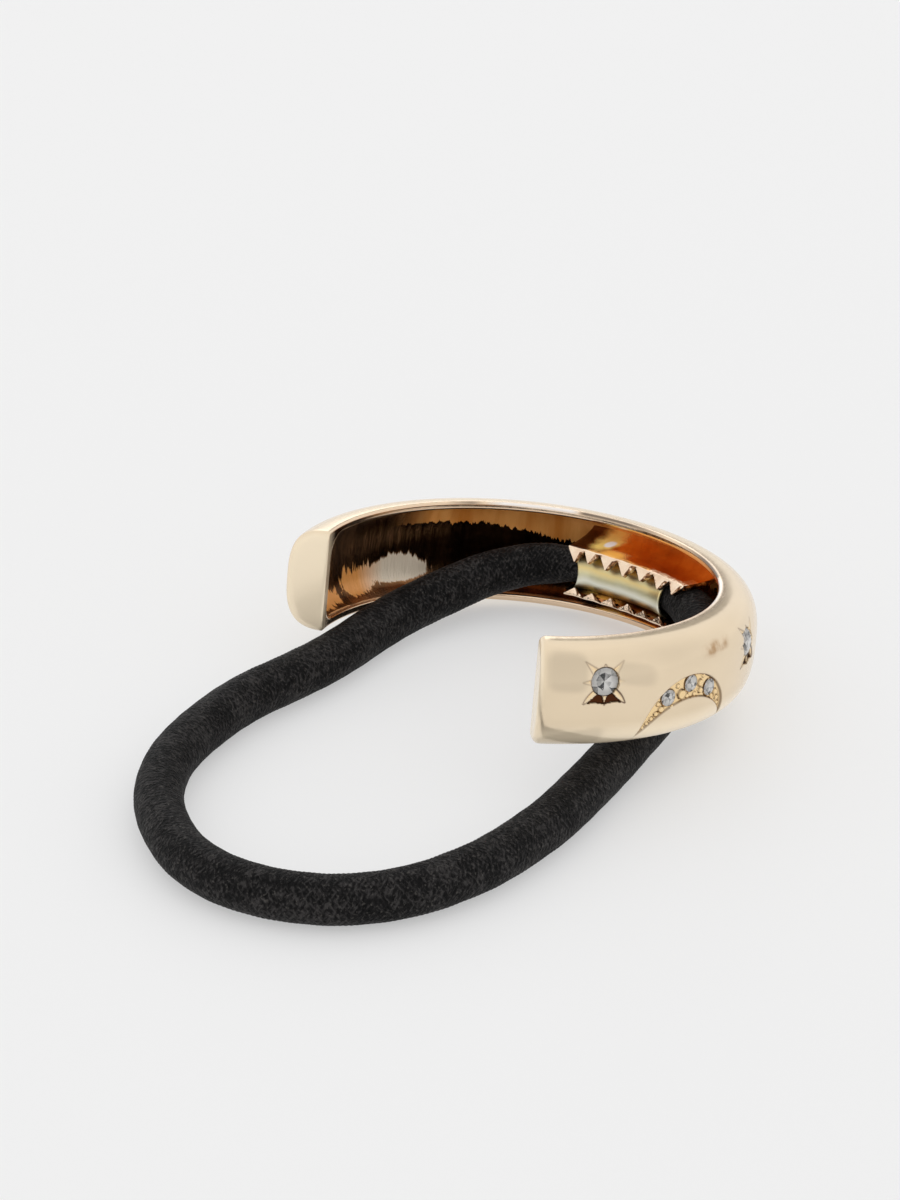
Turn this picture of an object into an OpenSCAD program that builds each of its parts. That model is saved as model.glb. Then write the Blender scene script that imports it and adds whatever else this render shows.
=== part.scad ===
// Ponytail hair tie: an open metal cuff of hollow D section, with a toothed clamp soldered inside it.
// The clamp bites on a ferrule that joins the two ends of a loop of round elastic.
// Engraved stars and crescents with set stones go round the crown.
// The cuff lies on its side with both arms lifted by the elastic that runs under and beside them.

/* [Cuff] */
// Inner diameter of the cuff, measured on its open side
inner_d = 31.8; // [28:0.2:40]
// Width of the band from edge to edge
band_w = 8.5; // [8:0.1:11]
// Depth of the crown, from the open side to the outer face
crown_depth = 3.4; // [3.2:0.1:4.5]
// Squareness of the crown, where 2 is a half ellipse
squareness = 2.9; // [2.2:0.1:3.4]
// Thickness of the metal at the two lips
lip = 0.65; // [0.5:0.05:0.9]
// Thickness of the metal behind the stones
crown_wall = 1; // [0.9:0.05:1.2]
// Angle from the closed end to the end of the left arm
left_turn = 126.5; // [120:0.5:130]
// Angle from the closed end to the end of the right arm
right_turn = 123.2; // [120:0.2:130]
// Thickness of the flat wall that closes each end
end_wall = 0.9; // [0.6:0.1:1.5]

/* [Clamp] */
// Angle from the closed end to the place where the clamp runs level with the cuff
clamp_turn = -15.8; // [-18:0.1:-14]
// Radius of the clamp's bend, which is gentler than the cuff's
clamp_bend = 28; // [24:1:32]
// Reach of the clamp from that place towards the left arm
clamp_reach = 4.4; // [4.3:0.1:4.8]
// Height of the clamp over its two arms
clamp_h = 4.2; // [4.2:0.1:4.6]
// Distance from the ferrule's middle to the clamp's front
clamp_front = 1.9; // [1.8:0.05:2.1]
// Thickness of the clamp's sheet
clamp_t = 0.35; // [0.3:0.05:0.35]
// Teeth in the upper row
upper_teeth = 7; // [5:1:9]
// Teeth in the lower row
lower_teeth = 6; // [5:1:9]
// Distance from one tooth to the next
tooth_pitch = 1.86; // [1.7:0.02:1.9]
// Length of a tooth
tooth_l = 0.8; // [0.6:0.05:0.9]
// Thickness of a tooth
tooth_t = 0.35; // [0.25:0.05:0.4]

/* [Ferrule] */
// Length of the ferrule
ferrule_l = 10.1; // [9.8:0.1:10.2]
// Diameter of the ferrule's flared mouths
ferrule_mouth_d = 3.3; // [3.3:0.1:3.4]
// Diameter of the ferrule where the clamp squeezes it
ferrule_waist_d = 3; // [3:0.1:3.2]
// Thickness of the ferrule's tube
ferrule_wall = 0.2; // [0.15:0.05:0.2]
// Distance from the cuff's open side to the ferrule's middle, towards the wrist
ferrule_inset = 1.15; // [1.1:0.05:1.2]

/* [Elastic] */
// Diameter of the round elastic
elastic_d = 4; // [3:0.1:4]
// Diameter of the elastic in the ferrule's mouths
elastic_mouth_d = 2.5; // [2.3:0.1:2.5]
// Diameter of the elastic inside the ferrule's waist
elastic_held_d = 2.3; // [2:0.1:2.3]

/* [Ornament] */
// Diameter of a star's stone
star_stone_d = 2.2; // [1.8:0.1:2.4]
// Diameter of a crescent's stone
moon_stone_d = 1.36; // [1:0.02:1.4]
// Height of the stars above the middle of the band
star_rise = 1.6; // [0.5:0.1:1.8]
// Reach of a star's long diagonal rays
star_long = 2.4; // [1.8:0.1:2.5]
// Reach of a star's short rays
star_short = 1.75; // [1.5:0.05:1.9]
// Outer radius of a crescent
moon_r = 4.7; // [4:0.1:4.8]
// Top of a crescent above the middle of the band
moon_top = 1.25; // [1:0.05:1.5]
// Depth of the engraving
engraving = 0.22; // [0.1:0.02:0.3]

/* [Rest] */
// Tilt that lifts both arms off the surface
tilt_back = 9.2; // [6:0.1:12]
// Tilt that lifts the right arm higher than the left
tilt_side = 4; // [0:0.1:6]

/* [Hidden] */
$fn = 48;
inner_r = inner_d / 2;
half_w = band_w / 2;
star_turns = [107.7, 56.5, 0, -56.5, -107.7];
moon_turns = [83.1, 28.5, -28.5, -83.1];
moon_stones = 3;
moon_stone_step = 37;
star_rim = 0.2;
ray_root = star_stone_d / 2 + star_rim;
moon_inner_ratio = 1.14;
moon_inner_r = moon_r * moon_inner_ratio;
moon_width = 2;
moon_stone_inset = 0.8;
seat_gap = 0.04;
section_steps = 12;
outline_steps = 40;
cuff_y = -3.73;
cut_over = 0.5;
cutter_below = 2;
cutter_h = 3;
bend_middle = inner_r - ferrule_inset - clamp_bend;
ferrule_recess = 0.2;
ferrule_start = ferrule_recess - clamp_reach;
ferrule_gap = 0.1;
flare_l = 0.8;
elastic_sides = 10;
held_rings = 2;
pinched_rings = 4;

// Centre line of the elastic, from its left end inside the ferrule round the loop to its right end there
elastic_route = [
    [-3.55, 10.35, 4.55], [-5.9, 9.65, 4.5], [-7.95, 8.75, 4.5], [-9.5, 7.75, 4.3], [-10.9, 6.4, 4.05],
    [-12.0, 4.65, 3.7], [-12.8, 2.35, 3.3], [-13.2, -0.85, 2.8], [-13.3, -4.35, 2.35], [-12.8, -7.95, 2.05],
    [-11.8, -11.25, 2.0], [-10.9, -14.35, 2.0], [-10.3, -17.55, 2.0], [-9.4, -23.85, 2.0], [-7.0, -30.25, 2.0],
    [-5.1, -33.45, 2.0], [-2.5, -36.35, 2.0], [0.7, -38.65, 2.0], [4.2, -40.15, 2.0], [7.5, -40.95, 2.0],
    [10.8, -40.95, 2.0], [14.0, -40.05, 2.0], [17.0, -38.35, 2.0], [19.5, -35.95, 2.0], [21.2, -33.05, 2.0],
    [22.2, -29.75, 2.0], [22.4, -26.25, 2.0], [22.1, -22.85, 2.0], [20.4, -16.35, 2.0], [19.1, -13.15, 2.0],
    [16.1, -6.8, 2.05], [14.8, -3.95, 2.3], [13.45, -0.6, 2.85], [12.2, 2.55, 3.6], [11.0, 5.2, 4.15],
    [9.35, 7.85, 4.6], [7.0, 9.9, 4.8], [4.35, 11.0, 4.85], [1.8, 11.3, 4.8], [-0.4, 11.05, 4.65],
    [-2.7, 10.6, 4.6]
];

// Reach of a crown of the given depth and half width at an angle from the middle of the band
function crown_point(depth, half, a) =
    [depth * pow(abs(cos(a)), 2 / squareness), half * sign(sin(a)) * pow(abs(sin(a)), 2 / squareness)];
function crown_line(depth, half) =
    [for (i = [-section_steps : section_steps]) crown_point(depth, half, 90 * i / section_steps)];

// Reach of the outer crown and the lean of its face at a height above the middle of the band
function crown_at(h) = crown_depth * pow(1 - pow(abs(h) / half_w, squareness), 1 / squareness);
function crown_lean(h) = atan((crown_at(h - 0.05) - crown_at(h + 0.05)) / 0.1);

// Turns a point of the upright cuff into the rest pose, before it is set down
function lean_side(p) =
    [p.x * cos(tilt_side) - p.z * sin(tilt_side), p.y, p.x * sin(tilt_side) + p.z * cos(tilt_side)];
function lean_back(p) =
    [p.x, p.y * cos(tilt_back) + p.z * sin(tilt_back), p.z * cos(tilt_back) - p.y * sin(tilt_back)];
function leaned(turn, q) =
    let (reach = inner_r + q.x)
        lean_back(lean_side([reach * sin(turn), reach * cos(turn), q.y]));

// The cuff's outline in the rest pose gives the height at which its lowest point is on the surface
outline_z = [
    for (i = [-outline_steps : outline_steps], q = crown_line(crown_depth, half_w))
        leaned((i < 0 ? left_turn : right_turn) * i / outline_steps, q).z
];
set_down = [0, cuff_y, -min(outline_z)];

module at_rest() {
    translate(set_down) rotate([-tilt_back, 0, 0]) rotate([0, -tilt_side, 0]) children();
}

// Turns by an angle from the closed end towards the right arm
module at_turn(turn) {
    rotate([0, 0, -turn]) children();
}

// Stands a child on the crown with its +Z along the outward normal and its +Y down the band
module on_crown(turn, h) {
    at_turn(turn) translate([0, inner_r + crown_at(h), h]) rotate([crown_lean(h) - 90, 0, 0]) children();
}

// Sweeps a profile, drawn as [distance outward, height], round the Z axis between two turns
module turned(radius, from, to) {
    rotate([0, 0, 90 - to]) rotate_extrude(angle = to - from) translate([radius, 0]) children();
}

// Sweeps a profile drawn from the cuff's open side round the cuff
module swept(from, to) {
    turned(inner_r, from, to) children();
}

// The clamp and the ferrule follow a gentler bend than the cuff, and places on it are measured along it
function bend_turn(along) = along * 180 / (PI * clamp_bend);

module in_bend() {
    at_turn(clamp_turn) translate([0, bend_middle, 0]) children();
}

module bent(from, to) {
    in_bend() turned(clamp_bend, bend_turn(from), bend_turn(to)) children();
}

module crown_sweep(inset) {
    swept(-left_turn, right_turn) polygon(crown_line(crown_depth - inset, half_w - inset));
}

module channel() {
    end_turn = asin(end_wall / inner_r);
    half = half_w - lip;
    line = crown_line(crown_depth - crown_wall, half);
    swept(end_turn - left_turn, right_turn - end_turn) polygon(concat([[-cut_over, -half]], line, [[-cut_over, half]]));
}

// One tooth with its root on the XY plane and its point up
module tooth(width) {
    rotate([90, 0, 0]) linear_extrude(tooth_t) polygon([[-width / 2, 0], [width / 2, 0], [0, tooth_l]]);
}

module tooth_row(count, upper) {
    root = (clamp_h - clamp_t) / 2;
    for (i = [0 : count - 1])
        in_bend()
            at_turn(bend_turn(tooth_pitch * (i + 0.5) - clamp_reach))
                translate([0, clamp_bend - clamp_front + tooth_t, 0])
                    mirror([0, 0, upper ? 1 : 0])
                        translate([0, 0, -root])
                            tooth(tooth_pitch);
}

// The clamp is a channel of sheet with its back soldered to the cuff's crown, and its arms carry the teeth
module clamp_channel() {
    out = clamp_h / 2;
    in = out - clamp_t;
    seat = ferrule_mouth_d / 2 + ferrule_gap;
    back = crown_depth + ferrule_inset;
    intersection() {
        bent(-clamp_reach, upper_teeth * tooth_pitch - clamp_reach)
            polygon([
                [-clamp_front, in], [seat, in], [seat, -in], [-clamp_front, -in],
                [-clamp_front, -out], [back, -out], [back, out], [-clamp_front, out]
            ]);
        cylinder(h = band_w, r = inner_r + crown_depth - crown_wall / 2, center = true);
    }
}

// Outline of an engraved star: long rays on the diagonals and short ones between them
module star_outline() {
    polygon([
        for (i = [0 : 15])
            let (reach = i % 2 == 1 ? ray_root : i % 4 == 2 ? star_long : star_short)
                reach * [cos(i * 22.5), sin(i * 22.5)]
    ]);
}

// Outline of an engraved crescent, with its middle at the band's middle and its horns down
module moon_outline() {
    difference() {
        translate([0, moon_r - moon_top]) circle(moon_r);
        translate([0, moon_inner_r - moon_top + moon_width]) circle(moon_inner_r);
    }
}

module cutter() {
    translate([0, 0, -cutter_below]) linear_extrude(cutter_h) children();
}

// What the engraver takes off the crown, down to an even depth
module engravings() {
    difference() {
        union() {
            for (turn = star_turns) on_crown(turn, star_rise) cutter() star_outline();
            for (turn = moon_turns) on_crown(turn, 0) cutter() moon_outline();
        }
        crown_sweep(engraving);
    }
}

// Puts a stone or its seat in a star or a crescent
module in_star(s) {
    on_crown(star_turns[s - 1], star_rise) children();
}

module in_moon(m, s) {
    a = moon_stone_step * (s - (moon_stones + 1) / 2);
    reach = moon_r - moon_stone_inset;
    x = reach * sin(a);
    h = moon_top - moon_r + reach * cos(a);
    on_crown(moon_turns[m - 1] - x * 180 / (PI * (inner_r + crown_depth)), h) children();
}

// A stone is a low faceted crown on a flat-backed base, with its girdle just below the metal's face
function stone_top(d) = 0.03 * d;
function girdle(d) = -0.11 * d;
function stone_back(d) = -0.28 * d;

module seat(d) {
    translate([0, 0, stone_back(d) - seat_gap]) cylinder(h = d, d = d + 2 * seat_gap);
}

module stone(d) {
    color([0.92, 0.93, 0.95]) {
        translate([0, 0, stone_back(d)]) cylinder(h = girdle(d) - stone_back(d), d1 = 0.7 * d, d2 = d);
        translate([0, 0, girdle(d)]) cylinder(h = stone_top(d) - girdle(d), d1 = d, d2 = 0.56 * d);
    }
}

module cuff() {
    color([0.91, 0.8, 0.68]) at_rest() {
        difference() {
            union() {
                difference() {
                    crown_sweep(0);
                    channel();
                }
                clamp_channel();
            }
            engravings();
            for (s = [1 : len(star_turns)]) in_star(s) seat(star_stone_d);
            for (m = [1 : len(moon_turns)], s = [1 : moon_stones]) in_moon(m, s) seat(moon_stone_d);
        }
        tooth_row(upper_teeth, true);
        tooth_row(lower_teeth, false);
    }
}

// A bent waist with a flare at each end, drawn once for the ferrule's outside and once for its bore
module flared(over, waist_d, mouth_d) {
    from = ferrule_start - over;
    to = ferrule_start + ferrule_l + over;
    bent(from, to) circle(d = waist_d);
    bent(from, ferrule_start + flare_l) circle(d = mouth_d);
    bent(ferrule_start + ferrule_l - flare_l, to) circle(d = mouth_d);
}

// The ferrule is a tube pinched between the teeth, and the elastic goes in at its two mouths
module ferrule() {
    color([0.75, 0.72, 0.52]) at_rest() difference() {
        flared(0, ferrule_waist_d, ferrule_mouth_d);
        flared(cut_over, ferrule_waist_d - 2 * ferrule_wall, ferrule_mouth_d - 2 * ferrule_wall);
    }
}

function unit(v) = v / norm(v);

// Radius of the elastic at a ring: least inside the ferrule, and growing from its mouth to the full size
function elastic_r(i, last) =
    let (past_mouth = min(i, last - i) - held_rings)
        past_mouth < 0
            ? elastic_held_d / 2
            : elastic_d / 2 - (elastic_d - elastic_mouth_d) / 2 * max(0, 1 - past_mouth / pinched_rings);

// Corners of a ring round a point of the route, square to the line between its neighbours
function elastic_ring(route, i) =
    let (
        last = len(route) - 1,
        along = unit(route[min(i + 1, last)] - route[max(i - 1, 0)]),
        side = unit(cross(along, [0, 0, 1])),
        rise = cross(side, along),
        r = elastic_r(i, last)
    )
        [for (k = [0 : elastic_sides - 1])
            let (a = 360 * (k + 0.5) / elastic_sides)
                route[i] + r * (cos(a) * side + sin(a) * rise)];

module tube(route) {
    rings = len(route);
    points = [for (i = [0 : rings - 1], p = elastic_ring(route, i)) p];
    walls = [
        for (i = [0 : rings - 2], k = [0 : elastic_sides - 1])
            let (a = i * elastic_sides + k, b = i * elastic_sides + (k + 1) % elastic_sides)
                [a, a + elastic_sides, b + elastic_sides, b]
    ];
    first = [for (k = [0 : elastic_sides - 1]) k];
    last = [for (k = [elastic_sides - 1 : -1 : 0]) (rings - 1) * elastic_sides + k];
    polyhedron(points = points, faces = concat([first], walls, [last]), convexity = 6);
}

module elastic_loop() {
    color([0.12, 0.12, 0.13]) tube(elastic_route);
}

cuff();
ferrule();
elastic_loop();
for (s = [1 : len(star_turns)])
    at_rest() in_star(s) stone(star_stone_d);
for (m = [1 : len(moon_turns)], s = [1 : moon_stones])
    at_rest() in_moon(m, s) stone(moon_stone_d);
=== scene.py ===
import math

import bmesh
import bpy
import numpy as np
from mathutils import Matrix, Vector


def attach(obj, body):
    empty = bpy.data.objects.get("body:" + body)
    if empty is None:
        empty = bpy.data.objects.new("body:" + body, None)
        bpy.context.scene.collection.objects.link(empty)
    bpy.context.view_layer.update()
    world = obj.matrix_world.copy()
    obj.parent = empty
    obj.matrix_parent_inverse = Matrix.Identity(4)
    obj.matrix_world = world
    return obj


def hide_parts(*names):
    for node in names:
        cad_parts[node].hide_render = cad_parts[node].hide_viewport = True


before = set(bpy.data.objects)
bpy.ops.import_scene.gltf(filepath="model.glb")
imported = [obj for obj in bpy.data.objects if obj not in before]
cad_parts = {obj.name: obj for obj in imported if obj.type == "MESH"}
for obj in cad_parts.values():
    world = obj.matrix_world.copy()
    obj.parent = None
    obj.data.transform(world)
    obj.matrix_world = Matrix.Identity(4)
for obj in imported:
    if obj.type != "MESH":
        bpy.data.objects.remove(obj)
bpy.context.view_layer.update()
mm = 0.001


def addObject(name, data):
    added = bpy.data.objects.new(name, data)
    bpy.context.scene.collection.objects.link(added)
    return added


# view

view = {
    "elevation": 28.0,
    "azimuth": 52.9,
    "target": (-0.016, 0.00185, 0.0),
    "distance": 0.42,
    "lens": 151.2,
}


def addCamera(v):
    up = math.radians(v["elevation"])
    turn = math.radians(v["azimuth"])
    away = Vector((math.sin(turn) * math.cos(up), -math.cos(turn) * math.cos(up), math.sin(up)))
    data = bpy.data.cameras.new("camera")
    data.lens = v["lens"]
    data.sensor_width = 36
    data.clip_start = 0.01
    data.clip_end = 20
    data.dof.use_dof = False
    camera = addObject("camera", data)
    camera.location = Vector(v["target"]) + v["distance"] * away
    camera.rotation_euler = away.to_track_quat("Z", "Y").to_euler()
    bpy.context.scene.camera = camera


addCamera(view)
bpy.context.scene.view_settings.view_transform = "Standard"
bpy.context.scene.view_settings.look = "None"
bpy.context.scene.cycles.max_bounces = 14
bpy.context.scene.cycles.glossy_bounces = 8
print("camera ready")


# helpers for meshes

def addGrid(bm, along, across, corner=(0, 0, 0), uvs=False):
    # one unit to a cell, so a vertex knows its row and column until it is placed
    size = Matrix.Diagonal((along, across, 1, 1)) @ Matrix.Translation((0.5, 0.5, 0))
    return bmesh.ops.create_grid(bm, x_segments=along, y_segments=across, size=0.5,
                                 matrix=Matrix.Translation(corner) @ size, calc_uvs=uvs)["verts"]


def flatSheet(along, across):
    bm = bmesh.new()
    bm.loops.layers.uv.new("UVMap")
    addGrid(bm, along, across, uvs=True)
    return bm


def placeVerts(bm, place):
    # place takes all rows and columns at once and gives the points and any named values on them
    rows, columns = np.round([v.co[:2] for v in bm.verts], 3).T
    points, values = place(rows, columns)
    for vert, point in zip(bm.verts, points):
        vert.co = point
    for name, numbers in values.items():
        layer = bm.verts.layers.float.new(name)
        for vert, number in zip(bm.verts, numbers):
            vert[layer] = number


def weld(bm, gap=0.002 * mm):
    bmesh.ops.remove_doubles(bm, verts=bm.verts[:], dist=gap)
    bmesh.ops.dissolve_degenerate(bm, dist=gap / 4, edges=bm.edges[:])
    bmesh.ops.recalc_face_normals(bm, faces=bm.faces[:])


def closeEnds(bm):
    rims = [e for e in bm.edges if e.is_boundary]
    caps = bmesh.ops.holes_fill(bm, edges=rims, sides=0)["faces"]
    bmesh.ops.poke(bm, faces=caps)
    bmesh.ops.recalc_face_normals(bm, faces=bm.faces[:])


def toMesh(bm, name):
    mesh = bpy.data.meshes.new(name)
    bm.to_mesh(mesh)
    bm.free()
    return mesh


def keepPiece(bm, name, materials, nodes, smooth=True, sharp=None):
    mesh = toMesh(bm, name)
    if smooth:
        mesh.shade_smooth()
    if sharp:
        mesh.set_sharp_from_angle(angle=math.radians(sharp))
    for material in materials:
        mesh.materials.append(material)
    piece = addObject(name, mesh)
    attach(piece, "root")
    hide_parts(*nodes)
    return piece


# helpers for materials

def newMaterial(name, color, metallic, roughness):
    material = bpy.data.materials.new(name)
    material.use_nodes = True
    shader = material.node_tree.nodes["Principled BSDF"]
    shader.inputs["Base Color"].default_value = (*color, 1)
    shader.inputs["Metallic"].default_value = metallic
    shader.inputs["Roughness"].default_value = roughness
    return material, shader


def addNode(near, kind, settings=None, **inputs):
    # near is a node or socket in the same tree; inputs are numbers, or sockets of other nodes
    tree = near.id_data
    node = tree.nodes.new(kind)
    for name, value in (settings or {}).items():
        setattr(node, name, value)
    for name, value in inputs.items():
        socket = node.inputs[int(name[1:]) if name[0] == "_" else name]
        if isinstance(value, bpy.types.NodeSocket):
            tree.links.new(value, socket)
        else:
            socket.default_value = value
    return node


def plug(node, name, socket):
    node.id_data.links.new(socket, node.inputs[name])


def addNoise(where, scale, detail=3.0, roughness=0.5):
    return addNode(where, "ShaderNodeTexNoise", Vector=where, Scale=scale, Detail=detail,
                   Roughness=roughness).outputs["Fac"]


def objectPoint(shader):
    return addNode(shader, "ShaderNodeTexCoord").outputs["Object"]


def ramp(factor, *stops):
    # a stop is a place and a grey, or a place and a color
    node = addNode(factor, "ShaderNodeValToRGB", Fac=factor)
    marks = node.color_ramp.elements
    while len(marks) < len(stops):
        marks.new(0.5)
    for mark, (place, *color) in zip(marks, stops):
        mark.position = place
        mark.color = (*(color * 3)[:3], 1)
    return node.outputs["Color"]


def read(shader, name):
    return addNode(shader, "ShaderNodeAttribute", {"attribute_name": name}).outputs["Fac"]


def compute(operation, a, b=0.0, c=0.0):
    return addNode(a, "ShaderNodeMath", {"operation": operation}, _0=a, _1=b, _2=c).outputs[0]


def most(value, *others):
    for other in others:
        value = compute("MAXIMUM", value, other)
    return value


def mapped(value, low, high, start=0.0, end=1.0, curve="LINEAR"):
    return addNode(value, "ShaderNodeMapRange", {"interpolation_type": curve}, _0=value, _1=low, _2=high,
                   _3=start, _4=end).outputs[0]


def vectorMath(operation, a, b):
    node = addNode(a, "ShaderNodeVectorMath", {"operation": operation}, _0=a, _1=b)
    return node.outputs["Value" if operation == "DOT_PRODUCT" else "Vector"]


def mixed(share, base, other):
    return addNode(share, "ShaderNodeMix", {"data_type": "RGBA"}, _0=share, _6=base, _7=other).outputs[2]


def layered(color, coats):
    for share, coat in coats:
        color = mixed(share, color, coat)
    return color


def blob(x, y, middle, half, soft, loose=None):
    # 1 inside an oval and 0 outside it, with an edge that a noise may make ragged
    across = compute("MULTIPLY_ADD", x, 1 / half[0], -middle[0] / half[0])
    up = compute("MULTIPLY_ADD", y, 1 / half[1], -middle[1] / half[1])
    gone = compute("SQRT", compute("MULTIPLY_ADD", across, across, compute("MULTIPLY", up, up)))
    if loose is not None:
        gone = compute("ADD", gone, loose)
    return mapped(gone, 1 - soft, 1 + soft, 1.0, 0.0, "SMOOTHSTEP")


def addBump(shader, height, depth, strength=1.0, before=None):
    bump = addNode(shader, "ShaderNodeBump", Height=height, Distance=depth, Strength=strength)
    if before is not None:
        plug(bump, "Normal", before)
    plug(shader, "Normal", bump.outputs["Normal"])
    return bump.outputs["Normal"]


# elastic

elastic = {
    "route": [
        (-3.55, 10.35, 4.55), (-5.9, 9.65, 4.5), (-7.95, 8.75, 4.5), (-9.5, 7.75, 4.3),
        (-10.9, 6.4, 4.05), (-12, 4.65, 3.7), (-12.8, 2.35, 3.3), (-13.2, -0.85, 2.8),
        (-13.3, -4.35, 2.35), (-12.8, -7.95, 2.05), (-11.8, -11.25, 2), (-10.9, -14.35, 2),
        (-10.3, -17.55, 2), (-9.4, -23.85, 2), (-7, -30.25, 2), (-5.1, -33.45, 2), (-2.5, -36.35, 2),
        (0.7, -38.65, 2), (4.2, -40.15, 2), (7.5, -40.95, 2), (10.8, -40.95, 2), (14, -40.05, 2),
        (17, -38.35, 2), (19.5, -35.95, 2), (21.2, -33.05, 2), (22.2, -29.75, 2), (22.4, -26.25, 2),
        (22.1, -22.85, 2), (20.4, -16.35, 2), (19.1, -13.15, 2), (16.1, -6.8, 2.05), (14.8, -3.95, 2.3),
        (13.45, -0.6, 2.85), (12.2, 2.55, 3.6), (11, 5.2, 4.15), (9.35, 7.85, 4.6), (7, 9.9, 4.8),
        (4.35, 11, 4.85), (1.8, 11.3, 4.8), (-0.4, 11.05, 4.65), (-2.7, 10.6, 4.6),
    ],
    "leftRadii": [1.15, 1.15, 1.4, 1.66, 1.74, 1.8, 1.86, 1.92],   # from each end into the free cord
    "rightRadii": [1.15, 1.15, 1.4, 1.74, 1.86, 1.92, 1.95],
    "freeRadius": 1.95,
    "exit": (-7.95, 8.75, 4.5),
    "length": 0.139,
    "diameter": 0.004,
    "rings": 1640,
    "sides": 56,
    "columns": 22,        # knitted columns round the cord
    "ribPitch": 0.4,
    "ribLean": 24,
    "ribHeight": 0.05,
    "ribRound": 0.8,      # lower makes broader ribs
    "ribTuck": 0.75,      # how far a rib sinks at its column's edges
    "lumps": 0.03,
    "flatUpTo": 1.3,      # radius up to which the cover is pulled flat, nearly
    "flatLeast": 0.25,
    "hatchPitch": 0.24,   # of the fine slanted lines of the cover
    "hatchLong": 0.7,
    "hatchLean": 30,
}


def runAlong(points):
    return np.concatenate([[0], np.cumsum(np.linalg.norm(np.diff(points, axis=0), axis=1))])


def blend(t, low, high, a, b):
    return (high - t) / (high - low) * a + (t - low) / (high - low) * b


def smoothRoute(points, count):
    # a smooth curve through the points, in even steps, and how far along it each point is
    p = np.array(points)
    p = np.vstack([2 * p[0] - p[1], p, 2 * p[-1] - p[-2]])
    fine = []
    for k in range(1, len(p) - 2):
        gaps = [np.linalg.norm(gap) ** 0.5 for gap in np.diff(p[k - 1:k + 3], axis=0)]
        t0, t1, t2, t3 = np.cumsum([0] + gaps)
        t = np.linspace(t1, t2, 60, endpoint=False)[:, None]
        a1 = blend(t, t0, t1, p[k - 1], p[k])
        a2 = blend(t, t1, t2, p[k], p[k + 1])
        a3 = blend(t, t2, t3, p[k + 1], p[k + 2])
        fine.append(blend(t, t1, t2, blend(t, t0, t2, a1, a2), blend(t, t1, t3, a2, a3)))
    fine = np.vstack(fine + [p[-2:-1]])
    run = runAlong(fine)
    even = np.linspace(0, run[-1], count)
    line = np.stack([np.interp(even, run, fine[:, axis]) for axis in range(3)], axis=1)
    marks = [np.argmin(np.linalg.norm(line - np.array(q), axis=1)) * run[-1] / (count - 1) for q in points]
    return line, even, marks


def knit(e, run, turn):
    # height of the knitted cover at a distance along the cord and a share of its round
    column = turn * e["columns"]
    across = column - np.floor(column)
    lean = np.where(np.floor(column) % 2 < 1, 1.0, -1.0)
    width = 2 * math.pi * e["freeRadius"] / e["columns"]
    shift = lean * (across - 0.5) * width * math.tan(math.radians(e["ribLean"]))
    stagger = 0.5 * (np.floor(column / 2) % 2)
    phase = (run + shift) / e["ribPitch"] + stagger
    rib = np.abs(np.cos(math.pi * phase)) ** e["ribRound"]
    tuck = 1 - e["ribTuck"] * np.abs(2 * across - 1) ** 3
    return rib * tuck


def lumpy(run, turn):
    # slow swellings along the cord
    round1 = np.cos(2 * math.pi * turn * 3 + 0.9 * run)
    round2 = np.sin(2 * math.pi * turn * 5 - 1.7 * run + 1.3)
    return 0.5 * round1 * np.sin(0.61 * run) + 0.5 * round2 * np.cos(1.13 * run + 0.4)


def placeElastic(e, line, even, marks):
    ahead = np.gradient(line, axis=0)
    ahead /= np.linalg.norm(ahead, axis=1)[:, None]
    side = np.cross(ahead, (0, 0, 1))
    side /= np.linalg.norm(side, axis=1)[:, None]
    rise = np.cross(side, ahead)
    left, right = e["leftRadii"], e["rightRadii"]
    knots = marks[:len(left)] + marks[-len(right):]
    sizes = np.interp(even, knots, left + right[::-1])

    def place(rows, columns):
        ring = np.rint(rows).astype(int)
        turn = columns / e["sides"]
        run = even[ring]
        free = np.clip((sizes[ring] - e["flatUpTo"]) / 0.4, e["flatLeast"], 1)
        cover = knit(e, run, turn)
        radius = sizes[ring] + free * (e["ribHeight"] * (cover - 0.5) + e["lumps"] * lumpy(run, turn))
        angle = 2 * math.pi * (turn - 0.25)      # the seam lies underneath
        out = np.cos(angle)[:, None] * side[ring] + np.sin(angle)[:, None] * rise[ring]
        points = line[ring] + radius[:, None] * out
        points[:, 2] = np.maximum(points[:, 2], 0.004)     # nothing goes under the surface it lies on
        return points * mm, {"cover": cover}
    return place


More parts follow.
